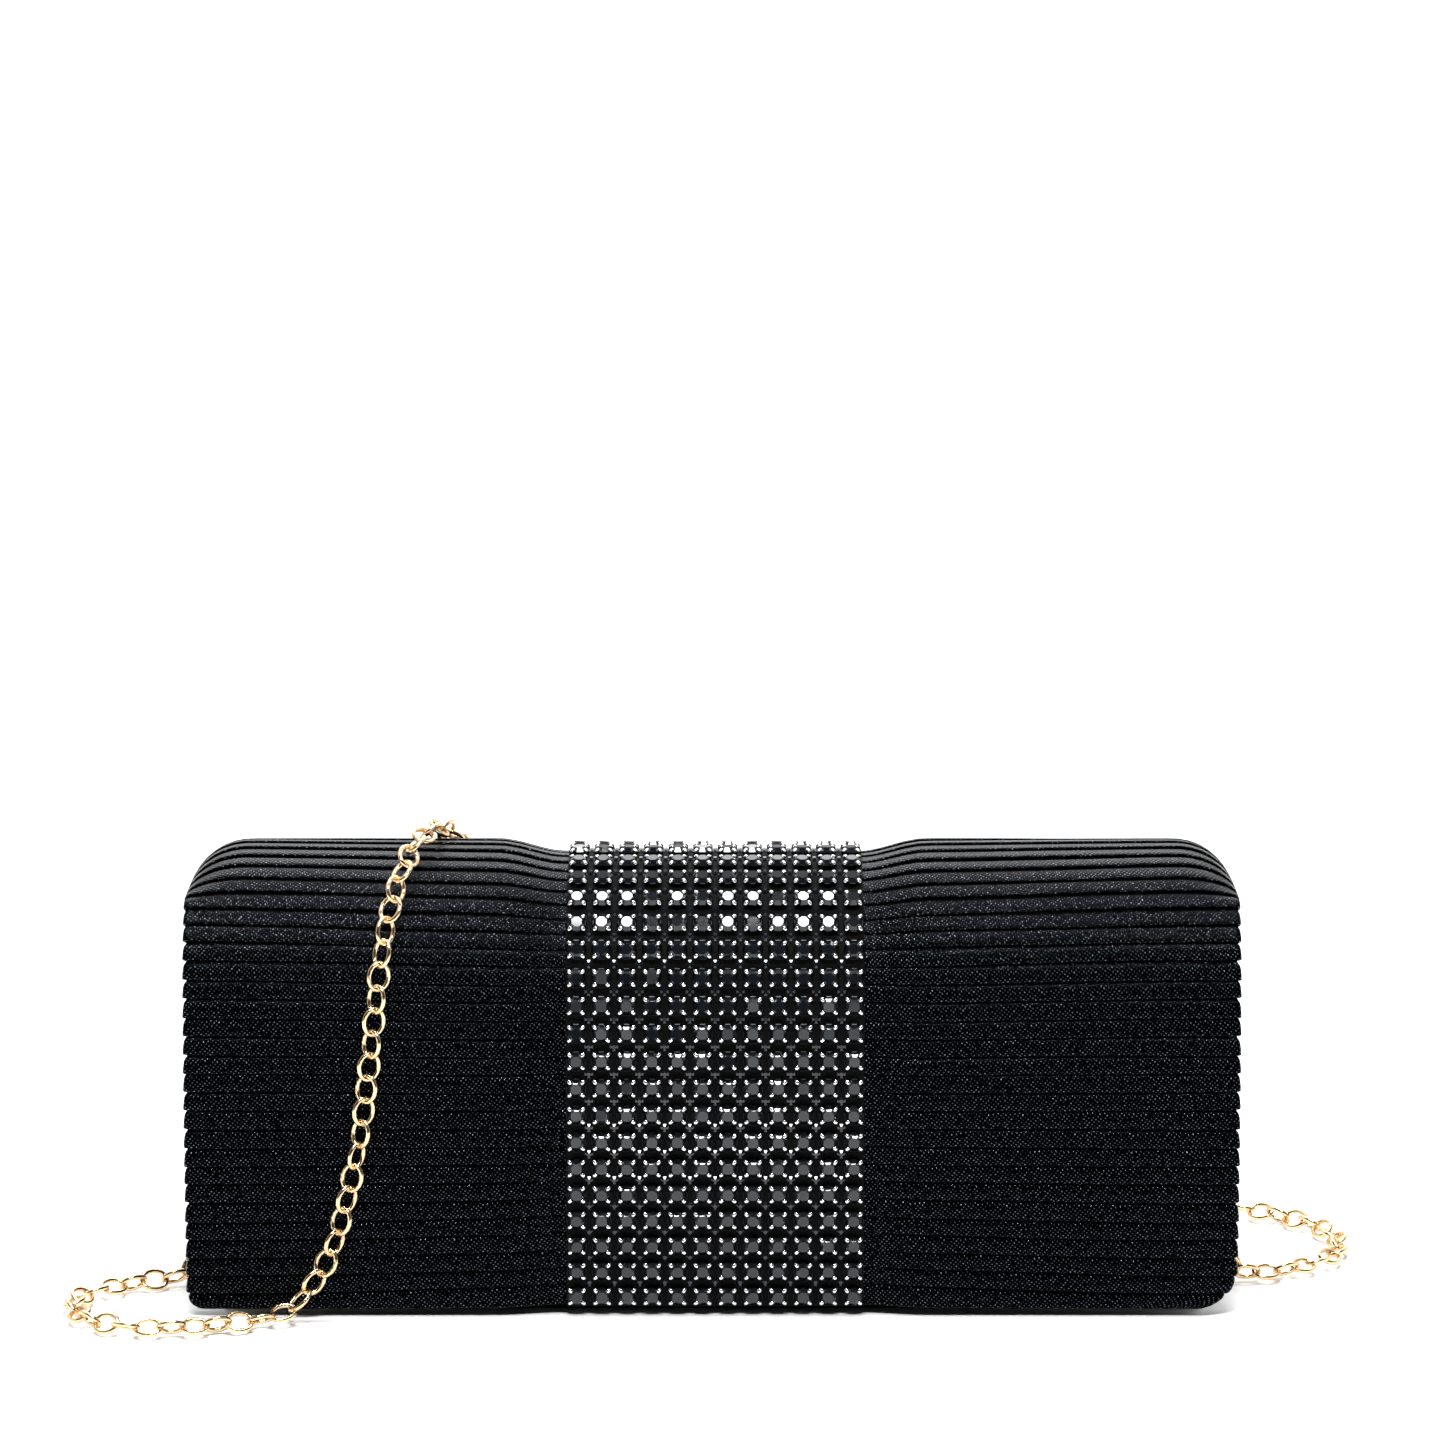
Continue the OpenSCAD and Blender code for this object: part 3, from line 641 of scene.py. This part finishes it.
cups = repeat_mesh("stone_cups", cup_shape, cup_places, cup_metal_painted_shade, smooth=False)
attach(cups, "flap")
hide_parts("band_cups")

bpy.ops.object.select_all(action="DESELECT")
bpy.ops.mesh.primitive_uv_sphere_add(segments=8, ring_count=5, radius=1)
claw = bpy.context.object
bpy.ops.object.mode_set(mode="EDIT")
bpy.ops.mesh.select_all(action="SELECT")
bpy.ops.transform.resize(value=(0.8, 0.54, 0.4))
bpy.ops.object.mode_set(mode="OBJECT")
claw_shape = ([tuple(v.co) for v in claw.data.vertices],
              [tuple(p.vertices) for p in claw.data.polygons])
bpy.data.objects.remove(claw)
claw_reach = 2.25
claw_rise = 0.3
claw_lean = 28
claw_places = []
for x in columns_x:
    for arc in row_arcs:
        seat = band_place(x, arc, girdle_height)
        for corner in (45, 135, 225, 315):
            claw_places.append(seat @ Matrix.Rotation(math.radians(corner), 4, "Z")
                               @ Matrix.Translation((claw_reach, 0, claw_rise))
                               @ Matrix.Rotation(math.radians(claw_lean), 4, "Y"))
claws = repeat_mesh("stone_claws", claw_shape, claw_places, claw_metal_painted_light, smooth=True)
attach(claws, "flap")


# ---- Back cover: the same pleated satin, glued over the back board down to the ground ----
# The folds run level, overlap downwards as on the flap, and wrap round both side edges. Thin
# padding lies between the cloth and the board.
back_low, back_high = 0.6, 78.6
back_half = 119.0
back_folds = np.arange(back_low, back_high + 5, pleat_pitch)
back_wave = rng.uniform(0, 2 * math.pi, (len(back_folds) + 1, 3))
back_rows = pleat_rows(back_folds, len(back_folds) - 1, back_high)
back_columns = np.array([0, 15, 30, 45, 60, 75, 90, 100, 107, 112, 115.5, 117.4, 118.2])
back_columns = np.concatenate([-back_columns[:0:-1], back_columns])
points, cloth_uv = [], []
for k, s, height in back_rows:
    edge = back_half - (pleat_rise - height) * 0.9
    ends_x = np.array([edge - a for a, _ in wrap])
    ends_h = np.array([h for _, h in wrap])
    x = np.concatenate([back_columns * edge / back_half, ends_x, [60, -60], -ends_x[::-1]])
    h = np.concatenate([np.full(len(back_columns), height - pleat_rise),
                        ends_h + (height - pleat_rise) * 0.6, np.full(2, -2.75),
                        ends_h[::-1] + (height - pleat_rise) * 0.6])
    p = back_wave[k]
    z = s + (0.14 * np.sin(x / 33 + p[0]) + 0.06 * np.sin(x / 12 + p[1])) * (s > 2)
    points.append(np.stack([x, 29 + h, np.clip(z, 0.1, back_high)], axis=-1))
    cloth_uv.append(np.stack([x + 3 * k, z * 1.15], axis=-1))
faces = [tuple(reversed(f)) for f in closed_grid((len(back_rows), len(points[0])))]
back_pleats = mesh_object("back_pleats", np.concatenate(points), faces, pleated_satin,
                          uv=np.concatenate(cloth_uv))
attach(back_pleats, "pouch")
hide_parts("back_cover")


# ---- Hinge: the pleated cloth runs on from the back to the flap and folds between them ----
# It is one strip of the cover's satin, doubled to 0.7 mm. Its lower edge is glued to the back
# Its lower edge is glued to the back and its upper edge to the flap. It is drawn as it lies with
# the flap shut and is attached to neither body.
hinge_y, hinge_z, hinge_r = 28.1, 80.0, 1.2
strip_z = np.linspace(back_high - 1.2, hinge_z + 3.4, 15)
strip_x = np.linspace(-back_half + 0.8, back_half - 0.8, 41)
strip_out = 0.15 + hinge_r * np.sqrt(np.clip(1 - ((strip_z - hinge_z) / 3.4) ** 2, 0, 1)) * 0.75
points, cloth_uv = [], []
for z, out in zip(strip_z, strip_out):
    x = np.concatenate([strip_x, strip_x[::-1]])
    y = np.concatenate([np.full(41, hinge_y + out), np.full(41, hinge_y + out - 0.7)])
    points.append(np.stack([x, y, np.full(82, z)], axis=-1))
    cloth_uv.append(np.stack([x, np.full(82, z)], axis=-1))
faces = [tuple(reversed(f)) for f in closed_grid((len(strip_z), 82))]
hinge_cloth = mesh_object("hinge_cloth", np.concatenate(points), faces, pleated_satin,
                          uv=np.concatenate(cloth_uv))
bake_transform(hinge_cloth)
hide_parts("hinge_roll")


# ---- Pouch: plain satin over the front, the sides and the base ----
# Each wall is a board wrapped in satin, so its edges are soft and it swells a little between them.
plain_satin = satin("plain_satin_black", "#040507", "#181c22", 0.5, 0.38, 0.2, 0.4)


def rounded_copy(node, name, material, body, width, segments=3):
    """A copy of a CAD piece with its edges rounded and its wide faces kept."""
    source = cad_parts[node]
    mesh = source.data.copy()
    piece = bpy.data.objects.new(name, mesh)
    bpy.context.collection.objects.link(piece)
    work = bmesh.new()
    work.from_mesh(mesh)
    bmesh.ops.remove_doubles(work, verts=work.verts, dist=1e-6)
    bmesh.ops.dissolve_limit(work, angle_limit=math.radians(1.5), verts=work.verts,
                             edges=work.edges)
    work.to_mesh(mesh)
    work.free()
    bpy.ops.object.select_all(action="DESELECT")
    piece.select_set(True)
    bpy.context.view_layer.objects.active = piece
    bevel = piece.modifiers.new("soft_edges", "BEVEL")
    bevel.width = width * mm
    bevel.segments = segments
    bevel.limit_method = "ANGLE"
    bevel.angle_limit = math.radians(40)
    bpy.ops.object.modifier_apply(modifier="soft_edges")
    mesh = piece.data
    mesh.materials.clear()
    mesh.materials.append(material)
    bpy.ops.object.shade_smooth_by_angle(angle=math.radians(35))
    layer = mesh.uv_layers.get("cloth") or mesh.uv_layers.new(name="cloth")
    for polygon in mesh.polygons:
        flat = [abs(c) for c in polygon.normal]
        drop = flat.index(max(flat))
        keep = [i for i in range(3) if i != drop]
        for loop in polygon.loop_indices:
            co = mesh.vertices[mesh.loops[loop].vertex_index].co
            layer.data[loop].uv = (co[keep[0]] / mm, co[keep[1]] / mm)
    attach(piece, body)
    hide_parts(node)
    return piece


for node in ("front_cover", "base_cover", "side_cover_left", "side_cover_right"):
    rounded_copy(node, node + "_satin", plain_satin, "pouch", 0.22)
for node in ("front_binding", "side_binding_left", "side_binding_right"):
    rounded_copy(node, node + "_tape", plain_satin, "pouch", 0.35)
for node in ("back_lining", "front_lining", "base_lining", "side_lining_left",
             "side_lining_right", "slip_pocket"):
    rounded_copy(node, node + "_cloth", lining_satin, "pouch", 0.12, 2)
for node in ("ring_tab_left", "ring_tab_right"):
    rounded_copy(node, node + "_folded", plain_satin, "pouch", 0.4)


# ---- Strap fittings: cast and plated D-rings, lobster clasps, gates, pins and jump rings ----
# The D-ring's bar turns in its tab, the clasp is hooked on the ring, and its gate turns on a pin
# pressed through the clasp. All are gold-plated zinc with the chain's finish.
for side in ("left", "right"):
    rounded_copy("clasp_" + side, "clasp_" + side + "_cast", gold_plate, "pouch",
                 0.3)
    rounded_copy("gate_" + side, "gate_" + side + "_lever", gold_plate,
                 "gate_" + side + "_body", 0.15, 2)
    for node in ("ring_", "gate_pin_", "jump_ring_"):
        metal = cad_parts[node + side]
        metal.data.materials.clear()
        metal.data.materials.append(gold_plate)


# ---- Magnetic snap: two nickel-plated steel halves with a ferrite magnet in the socket ----
# Each half's legs go through cloth and board and are folded over a washer behind it. The boards of
# the pouch, cut from 1.8 and 2 mm greyboard and glued edge to edge, get their finish here too.

# Nickel plate: grey, slightly warm steel with a turned haze.
nickel = new_material("nickel_plate", Metallic=1.0, Base_Color=hex_color("#96938e"))
nickel_where = add_node(nickel, "ShaderNodeTexCoord")
nickel_haze = add_node(nickel, "ShaderNodeTexNoise", [(nickel_where.outputs["Object"], "Vector")],
                       {"Scale": 260.0, "Detail": 2.0})
nickel_gloss = add_node(nickel, "ShaderNodeMapRange", [(nickel_haze.outputs["Fac"], "Value")],
                        {"To Min": 0.2, "To Max": 0.34})
into_shader(nickel, nickel_gloss.outputs["Result"], "Roughness")
# Ferrite: dull grey-black pressed ceramic.
ferrite = new_material("ferrite_pressed", Roughness=0.6)
ferrite_where = add_node(ferrite, "ShaderNodeTexCoord")
ferrite_grain = add_node(ferrite, "ShaderNodeTexNoise",
                         [(ferrite_where.outputs["Object"], "Vector")], {"Scale": 2500.0})
ferrite_tone = add_node(ferrite, "ShaderNodeMix", [(ferrite_grain.outputs["Fac"], "Factor")],
                        data_type="RGBA")
ferrite_tone.inputs["A"].default_value = hex_color("#232325")
ferrite_tone.inputs["B"].default_value = hex_color("#3b3b3e")
into_shader(ferrite, ferrite_tone.outputs["Result"], "Base Color")
snap_metals = {"snap_socket": nickel, "snap_socket_washer": nickel, "snap_stud": nickel,
               "snap_stud_washer": nickel, "snap_magnet": ferrite}
boards = ("back_board", "front_board", "base_board", "side_board_left", "side_board_right")
for node, material in {**snap_metals, **{b: greyboard for b in boards}}.items():
    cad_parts[node].data.materials.clear()
    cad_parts[node].data.materials.append(material)


# ---- Ground: a plain white sweep ----
# White paper, matt, far larger than the view.
ground_white = new_material("ground_paper", Base_Color=hex_color("#f4f4f4"), Roughness=0.9)
ground_shader = ground_white.node_tree.nodes["Principled BSDF"]
ground_shader.inputs["Specular IOR Level"].default_value = 0.1
ground = mesh_object("ground", [(-12000, -8000, 0), (12000, -8000, 0), (12000, 16000, 0),
                                (-12000, 16000, 0)], [(0, 1, 2, 3)], ground_white, smooth=False)


# ---- Light: soft boxes in a white room that is dark in front ----
# One narrow box hangs overhead, a strip in front of it picks out the pleats, and a large box
# lights the ground far behind. The dark front keeps the satin and the stones black.
def soft_box(name, place, aim, size, watts):
    """A rectangular light that points at a place."""
    data = bpy.data.lights.new(name, "AREA")
    data.shape = "RECTANGLE"
    data.size, data.size_y = size
    data.energy = watts
    lamp = bpy.data.objects.new(name, data)
    lamp.location = place
    lamp.rotation_euler = (Vector(aim) - Vector(place)).to_track_quat("-Z", "Y").to_euler()
    bpy.context.collection.objects.link(lamp)
    return lamp


soft_box("overhead_box", (0, -0.08, 1.35), (0, 0, 0.08), (0.62, 0.17), 17)
soft_box("front_strip", (0, -0.75, 1.2), (0, 0, 0.05), (0.7, 0.14), 18)
soft_box("background_box", (0, 4.5, 3.5), (0, 4.5, 0), (5, 5), 260)
world = bpy.data.worlds.new("room")
world.use_nodes = True
bpy.context.scene.world = world
sky = world.node_tree.nodes["Background"]
room_where = world.node_tree.nodes.new("ShaderNodeTexCoord")
room_split = world.node_tree.nodes.new("ShaderNodeSeparateXYZ")
room_ramp = world.node_tree.nodes.new("ShaderNodeMapRange")
room_ramp.inputs["From Min"].default_value = -0.35
room_ramp.inputs["From Max"].default_value = 0.3
room_ramp.inputs["To Min"].default_value = 0.04
room_ramp.inputs["To Max"].default_value = 1.05
world.node_tree.links.new(room_where.outputs["Generated"], room_split.inputs["Vector"])
world.node_tree.links.new(room_split.outputs["Y"], room_ramp.inputs["Value"])
world.node_tree.links.new(room_ramp.outputs["Result"], sky.inputs["Strength"])
sky.inputs["Color"].default_value = (1, 1, 1, 1)
bpy.context.scene.view_settings.view_transform = "Standard"
bpy.context.scene.view_settings.look = "None"
